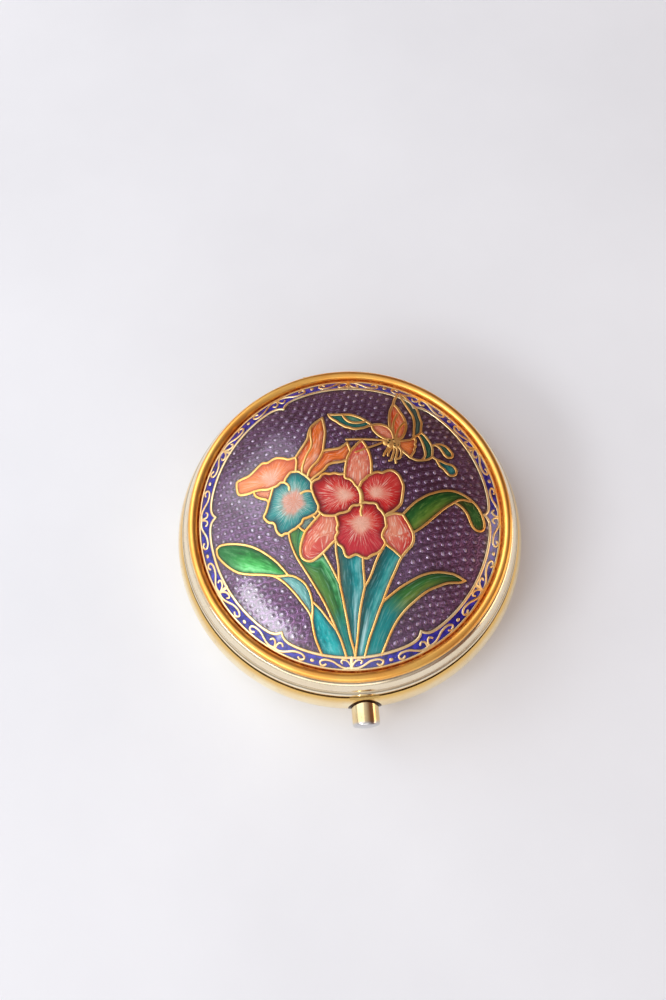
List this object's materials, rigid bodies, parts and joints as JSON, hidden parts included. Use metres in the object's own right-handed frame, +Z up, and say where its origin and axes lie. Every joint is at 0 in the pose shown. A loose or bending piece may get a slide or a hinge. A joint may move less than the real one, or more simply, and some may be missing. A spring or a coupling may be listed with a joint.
{
  "type": "pill box",
  "caption": "Round gilt pill box with a domed cloisonne enamel lid that hinges open, and a push-button catch.",
  "frame": {"origin": "centre of the flat underside", "axes": "+Z up through the dome, -Y towards the push button, +Y towards the hinge"},
  "size_m": [0.0502, 0.0531, 0.0189],
  "materials": {
    "gilt_outside": "polished pale gold plate",
    "gilt_bezel": "polished warm gold plate",
    "gilt_inside": "satin gold plate",
    "gilt_button": "polished gold plate, worn paler on the end",
    "gilt_wire": "polished gilt wire",
    "hinge_wire": "drawn brass wire",
    "copper": "spun copper",
    "purple_enamel": "translucent purple enamel over dimpled foil",
    "cobalt_enamel": "opaque cobalt enamel",
    "red_enamel": "crimson enamel shading to pale pink",
    "pink_enamel": "salmon enamel with darker veins",
    "orange_enamel": "orange enamel shading to peach",
    "turquoise_enamel": "turquoise enamel shading to cream",
    "green_enamel": "translucent leaf green enamel",
    "teal_enamel": "pearly teal enamel",
    "butterfly_enamel": "green and orange enamel",
    "card": "matt card",
    "silvered_glass": "back-silvered glass",
    "spring_steel": "spring wire"
  },
  "bodies": {
    "base": {"base_shell": "gilt_outside", "seat_ring": "gilt_inside", "tray_cup": "gilt_inside", "tray_divider": "gilt_inside", "latch_cover": "gilt_inside", "latch_bracket": "gilt_inside", "button_bush": "gilt_outside", "base_hinge_leaf": "gilt_outside", "hinge_pin": "hinge_wire", "button_spring": "spring_steel"},
    "lid": {"lid_shell": "gilt_outside", "bezel_ring": "gilt_bezel", "medallion_plate": "copper", "ground_enamel": "purple_enamel", "border_enamel": "cobalt_enamel", "border_wires": "gilt_wire", "picture_wires": "gilt_wire", "red_flower_enamel": "red_enamel", "pink_sepal_enamel": "pink_enamel", "orange_petal_enamel": "orange_enamel", "teal_flower_enamel": "turquoise_enamel", "leaf_enamel": "green_enamel", "stem_enamel": "teal_enamel", "butterfly_enamel": "butterfly_enamel", "backing_card": "card", "mirror_glass": "silvered_glass", "mirror_ring": "gilt_inside", "lid_catch": "gilt_outside", "lid_hinge_leaf": "gilt_outside"},
    "button": {"push_button": "gilt_button", "stop_washer": "gilt_inside", "latch_plate": "gilt_inside", "latch_collar": "gilt_inside"}
  },
  "joints": [
    {"name": "lid_hinge", "type": "hinge", "parent": "base", "child": "lid", "pos_m": [0, 0.0234, 0.00865], "axis": [-1, 0, 0], "range_deg": [0, 100]},
    {"name": "button_press", "type": "slide", "parent": "base", "child": "button", "axis": [0, 1, 0], "range_m": [0, 0.0009], "stiffness_N_per_m": 800, "springref_m": -0.0006, "deforming": ["button_spring"]}
  ]
}
